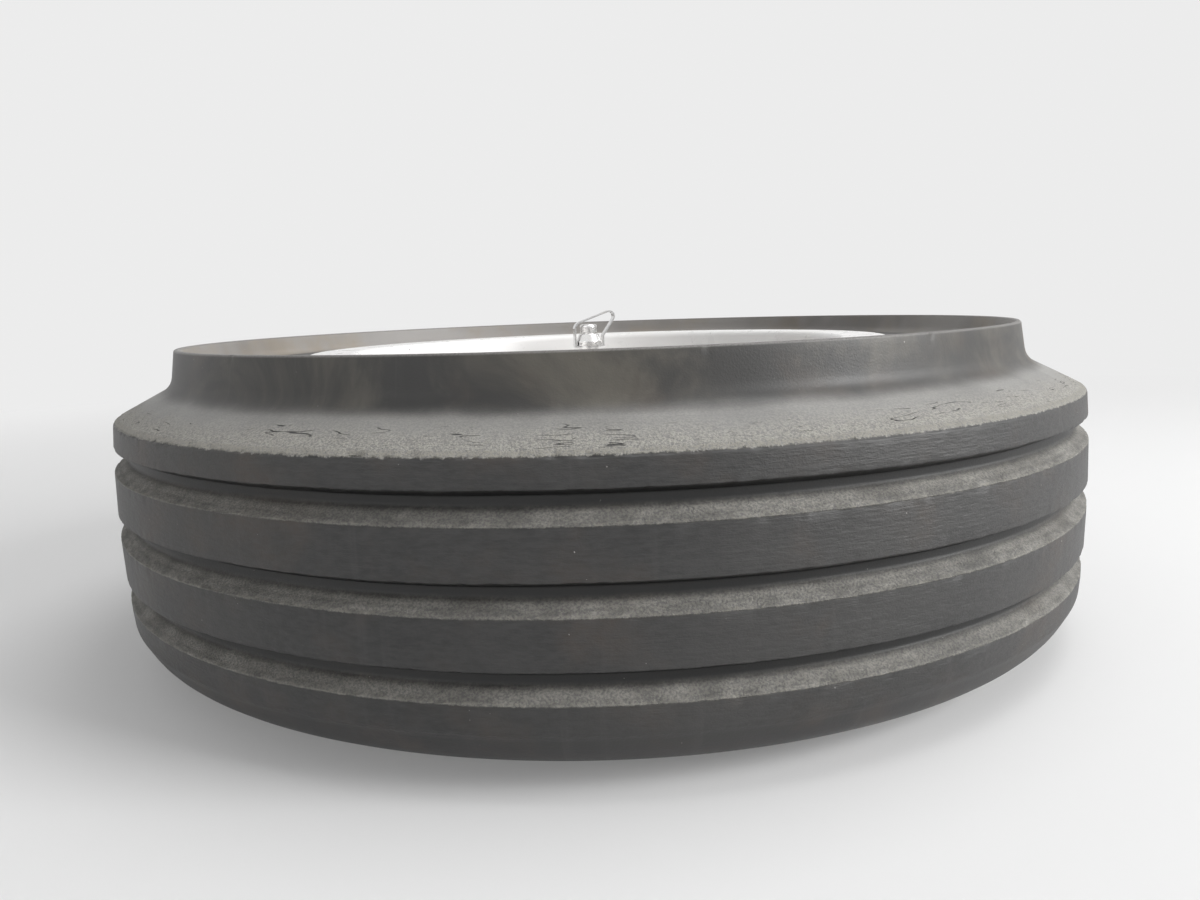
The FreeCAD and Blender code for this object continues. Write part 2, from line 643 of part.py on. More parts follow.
def make_snap_ring():
    """Internal retaining ring: an open hoop with two eared ends."""
    low = snap_groove_low() + SNAP_RING_CLEARANCE / 2
    high = low + SNAP_RING_THICKNESS
    outer = GREASE_SEAL_RADIUS + SNAP_GROOVE_DEPTH - SNAP_RING_CLEARANCE
    inner = outer - SNAP_RING_WIDTH
    hoop = tube(outer, inner, low, high)
    half_gap = math.radians(SNAP_RING_GAP / 2)
    far = 2 * outer
    corners = [Vector(0, 0, low), Vector(far, -far * math.tan(half_gap), low),
               Vector(far, far * math.tan(half_gap), low), Vector(0, 0, low)]
    wedge = Part.Face(Part.makePolygon(corners)).extrude(Vector(0, 0, high - low))
    ring = hoop.cut(wedge)
    lug_circle = inner + SNAP_LUG_RADIUS - SNAP_RING_WIDTH / 3
    for side in (-1, 1):
        angle = side * (half_gap + math.asin(SNAP_LUG_RADIUS / lug_circle))
        x, y = lug_circle * math.cos(angle), lug_circle * math.sin(angle)
        lug = tube(SNAP_LUG_RADIUS, SNAP_LUG_HOLE_RADIUS, low, high, x, y)
        hole = rod(SNAP_LUG_HOLE_RADIUS, low, high, x, y)
        ring = ring.fuse(lug.common(rod(outer, low, high))).cut(hole)
    return ring.removeSplitter()


# --- inflation valve, drawn about its own axis ------------------------------------------------

def at_valve(shape):
    angle = math.radians(VALVE_ANGLE)
    shape.translate(Vector(VALVE_CIRCLE * math.cos(angle), VALVE_CIRCLE * math.sin(angle), 0))
    return shape


def stem_flange_low():
    return VALVE_BOSS_HEIGHT + VALVE_GASKET_THICKNESS


def make_valve_stem():
    flange = stem_flange_low()
    foot = VALVE_BOSS_HEIGHT - VALVE_THREAD_LENGTH
    core_low = VALVE_STEM_TOP - CORE_RECESS - CORE_LENGTH
    stem = rod(VALVE_THREAD_RADIUS - THREAD_CLEARANCE, foot, flange)
    stem = stem.fuse([
        hexagon(VALVE_HEX, flange, flange + VALVE_HEX_HEIGHT),
        rod(VALVE_BODY_RADIUS, flange + VALVE_HEX_HEIGHT, VALVE_BODY_TOP),
        rod(VALVE_STEM_RADIUS, VALVE_BODY_TOP, VALVE_STEM_TOP),
    ])
    core_bore = rod(CORE_RADIUS + PRESS_GAP, core_low, VALVE_STEM_TOP)
    return stem.cut([core_bore, rod(AIR_PASSAGE_RADIUS, foot, core_low)]).removeSplitter()


def make_valve_gasket():
    return tube(VALVE_GASKET_RADIUS, VALVE_THREAD_RADIUS + THREAD_CLEARANCE,
                VALVE_BOSS_HEIGHT, stem_flange_low())


def make_valve_core():
    """Barrel of the valve core, with a bore for its pin."""
    high = VALVE_STEM_TOP - CORE_RECESS
    return tube(CORE_RADIUS, CORE_PIN_RADIUS + CORE_CLEARANCE, high - CORE_LENGTH, high)


def make_core_pin():
    """Pin with the poppet that closes the foot of the core."""
    high = VALVE_STEM_TOP - CORE_RECESS / 2
    low = high - CORE_PIN_LENGTH
    core_foot = VALVE_STEM_TOP - CORE_RECESS - CORE_LENGTH
    poppet_radius = min(CORE_RADIUS, AIR_PASSAGE_RADIUS) - CORE_CLEARANCE
    poppet = rod(poppet_radius, low, core_foot)
    return rod(CORE_PIN_RADIUS, low, high).fuse(poppet).removeSplitter()


def make_valve_collar():
    """Coned nut that holds the loop down on the valve body."""
    low = VALVE_BODY_TOP + LOOP_THICKNESS
    bore = VALVE_STEM_RADIUS + THREAD_CLEARANCE
    collar = revolved([
        (bore, low, 0),
        (VALVE_COLLAR_RADIUS, low, VALVE_EDGE_ROUNDING),
        (VALVE_COLLAR_RADIUS, low + VALVE_COLLAR_RIM, 2 * VALVE_EDGE_ROUNDING),
        (VALVE_COLLAR_TOP_RADIUS, VALVE_COLLAR_TOP, 2 * VALVE_EDGE_ROUNDING),
        (bore, VALVE_COLLAR_TOP, 0),
    ])
    height = low + VALVE_COLLAR_RIM / 2
    reach = 2 * VALVE_COLLAR_RADIUS
    start = Vector(-reach / 2, -(bore + VALVE_COLLAR_RADIUS) / 2, height)
    return collar.cut(Part.makeCylinder(LOCK_HOLE_RADIUS, reach, start, Vector(1, 0, 0)))


def make_valve_cap():
    """Domed screw cap with a fluted grip."""
    low = CAP_TOP - CAP_HEIGHT
    bore = VALVE_STEM_RADIUS + THREAD_CLEARANCE
    ceiling = VALVE_STEM_TOP + CAP_CEILING_GAP
    cap = revolved([
        (0, ceiling, 0),
        (bore, ceiling, 0),
        (bore, low, 0),
        (CAP_RADIUS, low, VALVE_EDGE_ROUNDING),
        (CAP_RADIUS, CAP_TOP, CAP_ROUNDING),
        (0, CAP_TOP, 0),
    ])
    flute = rod(2 * CAP_FLUTE_DEPTH, low, CAP_TOP - CAP_ROUNDING)
    return cap.cut(ring_of(flute, CAP_FLUTES, CAP_RADIUS + CAP_FLUTE_DEPTH, 0))


def make_cap_loop():
    """Spring strip: an eye under the collar, two arms and a nose that leans over the cap."""
    low = VALVE_BODY_TOP
    middle = low + LOOP_THICKNESS / 2
    arm = VALVE_COLLAR_RADIUS + LOOP_ARM_CLEARANCE
    shoulder = CAP_TOP + LOOP_CAP_GAP - (arm - CAP_RADIUS) * tangent(LOOP_LEAN)
    nose = shoulder + (arm + LOOP_NOSE_REACH) * tangent(LOOP_LEAN)
    strip = outline([
        (-arm, middle, 0),
        (-arm, shoulder, LOOP_SHOULDER_ROUNDING),
        (LOOP_NOSE_REACH, nose, LOOP_NOSE_ROUNDING),
        (arm, VALVE_COLLAR_TOP - LOOP_ELBOW_DROP, LOOP_ELBOW_ROUNDING),
        (arm, middle, 0),
    ], closed=False)
    face = strip.makeOffset2D(LOOP_THICKNESS, 0, True, True)
    band = face.extrude(Vector(0, LOOP_WIDTH, 0))
    band.translate(Vector(0, -LOOP_WIDTH / 2, 0))
    reach = 2 * (arm + LOOP_THICKNESS)
    corner = Vector(-reach / 2, -LOOP_WIDTH / 2, low)
    base = Part.makeBox(reach, LOOP_WIDTH, LOOP_THICKNESS, corner)
    base = base.fuse(rod(VALVE_BODY_RADIUS, low, low + LOOP_THICKNESS))
    loop = band.fuse(base).cut(rod(VALVE_STEM_RADIUS + THREAD_CLEARANCE, low, low + LOOP_THICKNESS))
    loop = loop.removeSplitter()
    loop.rotate(CENTRE, AXIS, LOOP_TURN)
    return loop


# --- the whole wheel --------------------------------------------------------------------------

def write(node, pieces):
    """Writes one node's solids, lifted so that the tyre rests on the ground."""
    pieces = pieces if isinstance(pieces, list) else [pieces]
    solids = [solid.copy() for piece in pieces for solid in piece.Solids]
    for solid in solids:
        solid.translate(Vector(0, 0, SECTION_HALF_WIDTH))
    shape = solids[0] if len(solids) == 1 else Part.makeCompound(solids)
    shape.exportStep(f"parts/{node}.step")
    print(f"{node}: {len(solids)} solids, {shape.Volume / 1000:.2f} cm3, valid {shape.isValid()}")


def main():
    os.makedirs("parts", exist_ok=True)
    write("tyre", make_tyre())
    write("outboard_wheel_half", make_outboard_half())
    write("inboard_wheel_half", make_inboard_half())
    write("wheel_half_seal", make_half_seal())
    write("tie_bolts", make_tie_bolts())
    write("bolt_washers", make_washers())
    write("nut_washers", [inboard(washer) for washer in make_washers()])
    write("tie_nuts", make_tie_nuts())
    bearing = {
        "bearing_cup": [make_cup()],
        "bearing_cone": [make_cone()],
        "bearing_cage": [make_cage()],
        "bearing_rollers": make_rollers(),
        "grease_seal": [make_grease_seal()],
        "retaining_ring": [make_snap_ring()],
    }
    for piece, shapes in bearing.items():
        write("outboard_" + piece, shapes)
        write("inboard_" + piece, [inboard(shape) for shape in shapes])
    valve = {
        "valve_stem": make_valve_stem,
        "valve_gasket": make_valve_gasket,
        "valve_core": make_valve_core,
        "valve_core_pin": make_core_pin,
        "valve_collar": make_valve_collar,
        "valve_cap": make_valve_cap,
        "valve_cap_loop": make_cap_loop,
    }
    for node, make in valve.items():
        write(node, at_valve(make()))


main()
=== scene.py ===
import math
from types import SimpleNamespace

import bpy
import numpy as np
from mathutils import Matrix, Vector


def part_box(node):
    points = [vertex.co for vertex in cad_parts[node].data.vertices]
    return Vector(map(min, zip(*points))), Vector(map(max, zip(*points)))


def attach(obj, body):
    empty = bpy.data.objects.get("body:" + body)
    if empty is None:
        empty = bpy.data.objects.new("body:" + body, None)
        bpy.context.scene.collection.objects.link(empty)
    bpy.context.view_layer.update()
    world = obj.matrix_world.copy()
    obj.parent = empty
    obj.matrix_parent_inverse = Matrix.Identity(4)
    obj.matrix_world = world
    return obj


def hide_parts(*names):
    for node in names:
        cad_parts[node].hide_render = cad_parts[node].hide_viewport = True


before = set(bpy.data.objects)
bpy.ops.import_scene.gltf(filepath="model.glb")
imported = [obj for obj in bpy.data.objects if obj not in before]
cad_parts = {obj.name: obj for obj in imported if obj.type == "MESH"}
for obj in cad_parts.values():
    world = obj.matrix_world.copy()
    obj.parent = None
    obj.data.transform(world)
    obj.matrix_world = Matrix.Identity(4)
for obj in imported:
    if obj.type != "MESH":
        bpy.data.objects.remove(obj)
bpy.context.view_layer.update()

# An aircraft nose wheel on its side. Places are in metres in the frame's own axes, apart from the
# tyre's surface, which is worked out in millimetres as radius and height from the wheel's middle
# plane, and is scaled when its mesh is made.
MM = 0.001
TYRE_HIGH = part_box("tyre")[1]       # the camera's place is worked out from this corner

# Tread
SECTION_HALF_WIDTH = 65.6           # middle plane to the ground on the lower sidewall
CROWN_RADIUS = 227.0
CROWN_DROP = 1.9                    # how far the tread falls away to its corners
TREAD_HALF_WIDTH = 42.2             # middle plane to the tread's corner, before rounding
TREAD_END_HEIGHT = -36.0            # the worn part of the tread ends here
GROOVE_PITCH = 27.35
GROOVES = (GROOVE_PITCH, 0.0, -GROOVE_PITCH)
GROOVE_DEPTH = 5.8
GROOVE_TOP = 4.9                    # from the groove's centre up to its upper edge
GROOVE_FLOOR_TOP = 2.6              # up to its floor's upper end
GROOVE_FLOOR_FOOT = 0.8             # down to its floor's lower end
GROOVE_FOOT = 5.2                   # down to where its worn lower wall ends

# Sidewalls and chine
LOWER_TURN = (219.25, -53.2)        # where the lower sidewall turns under
LOWER_SIDEWALL_RADIUS = 194.9       # where it meets the ground
UPPER_SIDEWALL_HEIGHT = 60.5
LIP_HEIGHT = 70.6
LIP_INNER_RADIUS = 196.9
LIP_OUTER_RADIUS = 199.2
CHINE_FOOT = (201.65, 54.4)         # where its outer wall would meet the shoulder cone
CHINE_INNER_FOOT_RADIUS = 194.3

# Beads and liner
SIDEWALL_THICKNESS = 11.0
LINER_RADIUS = 207.0
LINER_BEAD_RADIUS = 158.5
BEAD_APEX = (140.0, 46.0)
BEAD_TOE = (125.6, 39.0)
BEAD_SEAT_RADIUS = 127.15
BEAD_FACE_HEIGHT = 57.85
SIDEWALL_ROOT_RADIUS = 146.5
SIDEWALL_FLAT_RADIUS = 168.5

# Meshes
CORNER_STEPS = 5                    # steps in a rounded corner
SHOULDER_COLUMNS = 1500             # columns of points round each band of the tyre
TREAD_COLUMNS = 1200
CARCASS_COLUMNS = 480

# Wear, as depths in millimetres
CHIP_DEPTH = 0.45                   # at the shoulder's edge
CHIP_EXTRA = 0.75                   # added to it here and there
CONE_PITTING = 0.22
LOWER_EDGE_RUB = 0.5                # at the lower edge of each groove
UPPER_EDGE_RUB = 0.22
SCRUB = 0.28                        # broad hollows all over
NICKS = (                           # in the chine's lip: degrees round the axle, half width, depth
    (-80.2, 0.42, 0.4),
    (-131.0, 0.3, 0.5),
    (-55.0, 0.5, 0.5),
    (104.0, 0.5, 0.8),
    (12.0, 0.4, 0.6),
)

# Colours
BROWN_STAIN = (0.075, 0.057, 0.045, 1.0)
CHINE_DUST = (0.135, 0.124, 0.103, 1.0)
TAN_WALL = (0.290, 0.258, 0.217, 1.0)
SANDY_DUST = (0.39, 0.378, 0.338, 1.0)
PALE_BLOOM = (0.315, 0.31, 0.29, 1.0)
# a pale line along the edges, partly scuff and partly painted highlight
SCUFFED_EDGE_AND_HIGHLIGHT = (0.27, 0.26, 0.225, 1.0)
BRASS = (0.62, 0.43, 0.17, 1.0)

# Camera
LENS = 28.35                        # focal length and sensor width in millimetres
SENSOR_WIDTH = 36.0
CAMERA_DISTANCE = 2.154 * TYRE_HIGH.x       # from the axle
CAMERA_HEIGHT = TYRE_HIGH.z + 0.0637 * TYRE_HIGH.x
CAMERA_YAW, CAMERA_PITCH, CAMERA_ROLL = -0.08, 8.96, -2.03      # degrees
CLIP_START = 0.01

# Light
LAMP_TARGET = (0, 0, 0.08)
LAMPS = (                           # name, place, width and height, watts
    ("overhead", (0.7, 0.1, 2.1), (1.5, 1.3), 17),
    ("right_key", (1.9, -0.8, 1.0), (1.0, 0.9), 43),
    ("left_fill", (-1.5, -1.6, 0.8), (1.2, 0.8), 2.5),
)
WORLD_LIGHT = 0.35                  # on the wheel
WORLD_SEEN = 0.85                   # by the camera and in reflections

# Floor: a flat disc, a cove round it and a short wall
FLOOR_STEPS = 96
FLOOR_RINGS = (0.4, 1.0, 2.0, 3.0)          # radii of the rings of points on the disc
COVE_RADIUS = 1.2
COVE_STEPS = 8
WALL_TOP = 3.5
PAPER = 0.84                        # grey value
GLOW_START, GLOW_END = 260.0, 1500.0        # the glow grows between these radii, in millimetres
GLOW_NEAR, GLOW_FAR = 0.2, 1.0              # its share at the two

# ---------------------------------------------------------------------------------------------
# Repeatable noise, for shapes


def lattice(cells, seed):
    """Random numbers from 0 to 1, one for each row of whole-number cells."""
    x, y, z = (cells[:, i].astype(np.int64) for i in range(3))
    mixed = (x * 374761393 + y * 668265263 + z * 1442695041 + seed * 974634777) & 0xFFFFFFFF
    mixed = ((mixed ^ (mixed >> 13)) * 1274126177) & 0xFFFFFFFF
    return ((mixed ^ (mixed >> 16)) & 0xFFFFFF) / float(0xFFFFFF)


def noise(points, size, seed=0):
    """Smooth noise from 0 to 1 whose bumps are about size across."""
    scaled = points / size
    cell = np.floor(scaled)
    part = scaled - cell
    part = part * part * (3 - 2 * part)
    total = np.zeros(len(points))
    for corner in np.ndindex(2, 2, 2):
        weight = np.ones(len(points))
        for i, up in enumerate(corner):
            weight *= part[:, i] if up else 1 - part[:, i]
        total += weight * lattice(cell + np.array(corner), seed)
    return total


def fractal(points, size, octaves, seed=0):
    """Noise with finer noise added, still from 0 to 1."""
    total = np.zeros(len(points))
    weight = 0.0
    for i in range(octaves):
        total += noise(points, size / 2 ** i, seed + i) / 2 ** i
        weight += 1 / 2 ** i
    return total / weight


def rise(values, low, high):
    """0 below low, 1 above high, smooth between."""
    t = np.clip((values - low) / (high - low), 0, 1)
    return t * t * (3 - 2 * t)


# ---------------------------------------------------------------------------------------------
# The tyre's section


def crown(height):
    """Radius of the worn, slightly rounded tread at a height."""
    return CROWN_RADIUS - CROWN_DROP * (height / TREAD_HALF_WIDTH) ** 2


def groove_floor(centre):
    """Radius of the floor of the groove at a height."""
    return crown(centre) - GROOVE_DEPTH


def groove(centre):
    """One groove from top to bottom, its lower wall worn to a slope."""
    top, foot, floor = centre + GROOVE_TOP, centre - GROOVE_FOOT, groove_floor(centre)
    return [
        (crown(top), top, 0.8, 4),
        (floor, centre + GROOVE_FLOOR_TOP, 0.9, 2),
        (floor, centre - GROOVE_FLOOR_FOOT, 1.6, 2),
        (crown(foot), foot, 1.0, 4),
    ]


# Each band is an open run of corners (radius, height, rounding, steps on the side before it) and
# meets the next band on a flat stretch that wear leaves alone, or alike on both.
LIP_MIDDLE = ((LIP_INNER_RADIUS + LIP_OUTER_RADIUS) / 2, LIP_HEIGHT, 0.0, 1)
GROOVE_MIDDLE = (
    groove_floor(GROOVES[0]), GROOVES[0] + (GROOVE_FLOOR_TOP - GROOVE_FLOOR_FOOT) / 2, 0.0, 1,
)
TREAD_END = (crown(TREAD_END_HEIGHT), TREAD_END_HEIGHT, 0.0, 1)


def shoulder_band():
    """From the chine's lip down the shoulder cone to the middle of the first groove's floor."""
    return [
        LIP_MIDDLE,
        (LIP_OUTER_RADIUS, LIP_HEIGHT, 0.9, 1),
        CHINE_FOOT + (9.0, 4),
        (crown(TREAD_HALF_WIDTH), TREAD_HALF_WIDTH, 2.6, 18),
    ] + groove(GROOVES[0])[:2] + [GROOVE_MIDDLE]


def tread_band():
    """From the first groove's floor down over the ribs to the tread's lower end."""
    corners = [GROOVE_MIDDLE] + groove(GROOVES[0])[2:]
    for centre in GROOVES[1:]:
        corners += groove(centre)
    return corners + [TREAD_END]


def bead(sidewall_height):
    """From the liner round the bead to the sidewall, on the upper side."""
    liner_height = sidewall_height - SIDEWALL_THICKNESS
    return [
        (LINER_RADIUS, liner_height, 24.0, 1),
        (LINER_BEAD_RADIUS, liner_height, 14.0, 1),
        BEAD_APEX + (8.0, 1),
        BEAD_TOE + (1.5, 1),
        (BEAD_SEAT_RADIUS, BEAD_FACE_HEIGHT, 3.0, 1),
        (SIDEWALL_ROOT_RADIUS, BEAD_FACE_HEIGHT, 8.0, 1),
        (SIDEWALL_FLAT_RADIUS, sidewall_height, 22.0, 1),
    ]


def carcass_band():
    """From the tread's lower end under and through the tyre to the chine's lip."""
    lower = [(radius, -height, *rest) for radius, height, *rest in bead(SECTION_HALF_WIDTH)]
    return [
        TREAD_END,
        (crown(TREAD_HALF_WIDTH), -TREAD_HALF_WIDTH, 4.2, 2),
        LOWER_TURN + (20.0, 1),
        (LOWER_SIDEWALL_RADIUS, -SECTION_HALF_WIDTH, 25.0, 2),
    ] + lower[::-1] + bead(UPPER_SIDEWALL_HEIGHT) + [
        (CHINE_INNER_FOOT_RADIUS, UPPER_SIDEWALL_HEIGHT, 5.0, 2),
        (LIP_INNER_RADIUS, LIP_HEIGHT, 0.7, 2),
        LIP_MIDDLE,
    ]


def rounded_section(corners):
    """Points of an open outline with its corners rounded and its sides divided."""
    spots = [np.array(corner[:2]) for corner in corners]
    outline = [spots[0]]
    last = spots[0]
    for i in range(1, len(spots)):
        here, rounding, steps = spots[i], corners[i][2], corners[i][3]
        arc = [here]
        if rounding:
            back = (spots[i - 1] - here) / np.linalg.norm(spots[i - 1] - here)
            ahead = (spots[i + 1] - here) / np.linalg.norm(spots[i + 1] - here)
            half = math.acos(max(-1, min(1, back @ ahead))) / 2
            inward = (back + ahead) / np.linalg.norm(back + ahead)
            centre = here + inward * rounding / math.sin(half)
            first = here + back * rounding / math.tan(half) - centre
            final = here + ahead * rounding / math.tan(half) - centre
            sweep = math.atan2(first[0] * final[1] - first[1] * final[0], first @ final)
            arc = []
            for a in np.linspace(0, sweep, CORNER_STEPS + 1):
                turn = np.array([[math.cos(a), -math.sin(a)], [math.sin(a), math.cos(a)]])
                arc.append(centre + turn @ first)
        for step in range(1, steps):
            outline.append(last + (arc[0] - last) * step / steps)
        outline += arc
        last = arc[-1]
    return np.array(outline)


# ---------------------------------------------------------------------------------------------
# The tyre's wear


def ridge(values, middle, half):
    """1 at middle, falling off within about half on both sides."""
    return np.exp(-((values - middle) / half) ** 2)


def patches(points, size, octaves, seed, low, high):
    """Ragged patches, 1 where the noise is above high and 0 where it is below low."""
    return rise(fractal(points, size, octaves, seed), low, high)


def nicks(angle, height):
    """Depth of the notches in the chine's lip."""
    depth = np.zeros(len(angle))
    lip = rise(height, LIP_HEIGHT - 1.3, LIP_HEIGHT - 0.3)
    for middle, half, cut in NICKS:
        depth += cut * lip * (1 - rise(np.abs(angle - middle), 0.3 * half, half))
    return depth


def wear(points, angle, radius, height):
    """How far the worn surface lies below the new one."""
    worn = (radius > LIP_OUTER_RADIUS - 0.7) & (height > TREAD_END_HEIGHT)
    squat = points * np.array([1, 1, 1.8])      # makes the noise's bumps lower than they are wide
    edge = ridge(height, TREAD_HALF_WIDTH + 0.2, 1.1) * rise(radius, 221, 223)
    extra = CHIP_EXTRA * patches(points, 30.0, 2, 37, 0.52, 0.72)
    sunk = edge * patches(squat, 4.6, 3, 31, 0.46, 0.7) * (CHIP_DEPTH + extra)
    cone = rise(radius, 212, 218) * rise(height, TREAD_HALF_WIDTH - 0.7, TREAD_HALF_WIDTH + 0.8)
    sunk += cone * CONE_PITTING * patches(squat, 3.4, 2, 11, 0.5, 0.7)
    rubbed = patches(squat, 4.2, 3, 47, 0.45, 0.68)
    for centre in GROOVES:
        lower = ridge(height, centre - GROOVE_TOP, 0.9) * rise(radius, 222.5, 224.0)
        upper = ridge(height, centre + GROOVE_TOP, 0.8) * rise(radius, 223.5, 225.0)
        sunk += (LOWER_EDGE_RUB * lower + UPPER_EDGE_RUB * upper) * rubbed
    sunk += SCRUB * patches(points, 60.0, 2, 5, 0.3, 0.8)
    return (sunk + nicks(angle, height)) * worn


def make_band(name, corners, columns):
    """One band of the tyre's surface, turned about the axle and worn."""
    section = rounded_section(corners)
    ahead = np.gradient(section, axis=0)
    outward = np.stack([-ahead[:, 1], ahead[:, 0]], 1)
    outward /= np.linalg.norm(outward, axis=1)[:, None]
    rows = len(section)
    turn = np.repeat(np.arange(columns) * 2 * math.pi / columns, rows)
    radius, height = np.tile(section[:, 0], columns), np.tile(section[:, 1], columns)
    points = np.stack([radius * np.cos(turn), radius * np.sin(turn), height], 1)
    sunk = wear(points, (np.degrees(turn) + 180) % 360 - 180, radius, height)
    radius = radius - sunk * np.tile(outward[:, 0], columns)
    height = height - sunk * np.tile(outward[:, 1], columns)
    places = np.stack([radius * np.cos(turn), radius * np.sin(turn), height], 1) * MM
    places[:, 2] += SECTION_HALF_WIDTH * MM
    column = np.arange(columns)[:, None] * rows
    following = (np.arange(columns)[:, None] + 1) % columns * rows
    row = np.arange(rows - 1)[None, :]
    quads = np.stack([column + row + 1, following + row + 1, following + row, column + row], 2)
    mesh = bpy.data.meshes.new(name)
    mesh.from_pydata(places.tolist(), [], quads.reshape(-1, 4).tolist())
    mesh.polygons.foreach_set("use_smooth", np.ones(len(mesh.polygons), bool))
    band = bpy.data.objects.new(name, mesh)
    bpy.context.scene.collection.objects.link(band)
    return band


# ---------------------------------------------------------------------------------------------
# Materials


class Paint:
    """A material's node tree, with short names for the nodes used here."""

    def __init__(self, name):
        self.material = bpy.data.materials.new(name)
        self.material.use_nodes = True
        self.tree = self.material.node_tree
        self.shader = self.tree.nodes["Principled BSDF"]
        self.place = self.node("ShaderNodeTexCoord").outputs["Object"]

    def put(self, value, socket):
        """Links another node's output to a socket, or sets a plain value there."""
        if isinstance(value, bpy.types.NodeSocket):
            self.tree.links.new(value, socket)
        else:
            socket.default_value = value

    def node(self, kind, inputs=(), **settings):
        """A new node, with its settings made and its inputs linked or set."""
        node = self.tree.nodes.new(kind)
        for key, value in settings.items():
            setattr(node, key, value)
        for key, value in dict(inputs).items():
            self.put(value, node.inputs[key])
        return node

    def noise(self, scale, detail=3.0, roughness=0.5, place=None, distortion=0.0):
        """Noise from 0 to 1 with scale bumps in a metre, or in one unit of place."""
        inputs = {"Vector": place or self.place, "Scale": scale, "Detail": detail,
                  "Roughness": roughness, "Distortion": distortion}
        return self.node("ShaderNodeTexNoise", inputs).outputs["Fac"]

    def ramp(self, value, low, high, start=0.0, end=1.0):
        """value from low to high becomes start to end, and stays there outside."""
        inputs = {"Value": value, "From Min": low, "From Max": high, "To Min": start, "To Max": end}
        node = self.node("ShaderNodeMapRange", inputs, interpolation_type="SMOOTHSTEP")
        return node.outputs["Result"]

    def fold(self, operation, *values):
        """The first two values joined by the operation, then the result with the third and so on."""
        total = values[0]
        for value in values[1:]:
            total = self.node("ShaderNodeMath", {0: total, 1: value}, operation=operation).outputs[0]
        return total

    def sum(self, *values):
        return self.fold("ADD", *values)

    def product(self, *values):
        return self.fold("MULTIPLY", *values)

    def larger(self, *values):
        return self.fold("MAXIMUM", *values)

    def size(self, value):
        """The value without its sign."""
        return self.node("ShaderNodeMath", {0: value}, operation="ABSOLUTE").outputs[0]

    def mix(self, factor, a, b):
        """Colour a where factor is 0 and colour b where it is 1."""
        node = self.node("ShaderNodeMix", data_type="RGBA")
        colours = [socket for socket in node.inputs if socket.type == "RGBA"]
        self.put(factor, node.inputs[0])
        self.put(a, colours[0])
        self.put(b, colours[1])
        return next(socket for socket in node.outputs if socket.type == "RGBA")

    def axle(self):
        """The vector straight out from the axle, and the height above the ground."""
        split = self.node("ShaderNodeSeparateXYZ", {0: self.place})
        out = self.node("ShaderNodeCombineXYZ", {0: split.outputs[0], 1: split.outputs[1], 2: 0.0})
        return out.outputs[0], split.outputs[2]

    def ring(self):
        """Radius, and height from the wheel's middle plane, in millimetres."""
        out, height = self.axle()
        length = self.node("ShaderNodeVectorMath", {0: out}, operation="LENGTH")
        height = self.sum(height, -SECTION_HALF_WIDTH * MM)
        return self.product(length.outputs["Value"], 1 / MM), self.product(height, 1 / MM)

    def around(self, across, along):
        """Coordinates that stretch noise round the axle: across units in a metre of height, and a
        circle of radius along for the turn."""
        out, height = self.axle()
        unit = self.node("ShaderNodeVectorMath", {0: out}, operation="NORMALIZE").outputs[0]
        circle = self.node("ShaderNodeVectorMath", {0: unit, "Scale": along}, operation="SCALE")
        lift = self.node("ShaderNodeCombineXYZ", {2: self.product(height, across)})
        places = {0: circle.outputs[0], 1: lift.outputs[0]}
        return self.node("ShaderNodeVectorMath", places, operation="ADD").outputs[0]

    def only(self, value, low, high, soft):
        """1 where value lies between low and high, fading over soft on the outside."""
        up = self.ramp(value, low - soft, low)
        return self.product(up, self.ramp(value, high, high + soft, 1.0, 0.0))

    def bump(self, height, distance, strength, under=None):
        """The normal of a relief, laid over the normal of another one if that is given."""
        inputs = {"Height": height, "Distance": distance, "Strength": strength}
        if under is not None:
            inputs["Normal"] = under
        return self.node("ShaderNodeBump", inputs).outputs["Normal"]

    def finish(self, colour, roughness, normal, metallic=0.0):
        """Sets the shader up and gives the material."""
        values = {"Base Color": colour, "Roughness": roughness, "Normal": normal,
                  "Metallic": metallic}
        for key, value in values.items():
            self.put(value, self.shader.inputs[key])
        return self.material


def grey(value, warm=0.0):
    """A grey that leans to red by the share warm."""
    return (value * (1 + warm), value, value * (1 - warm), 1.0)


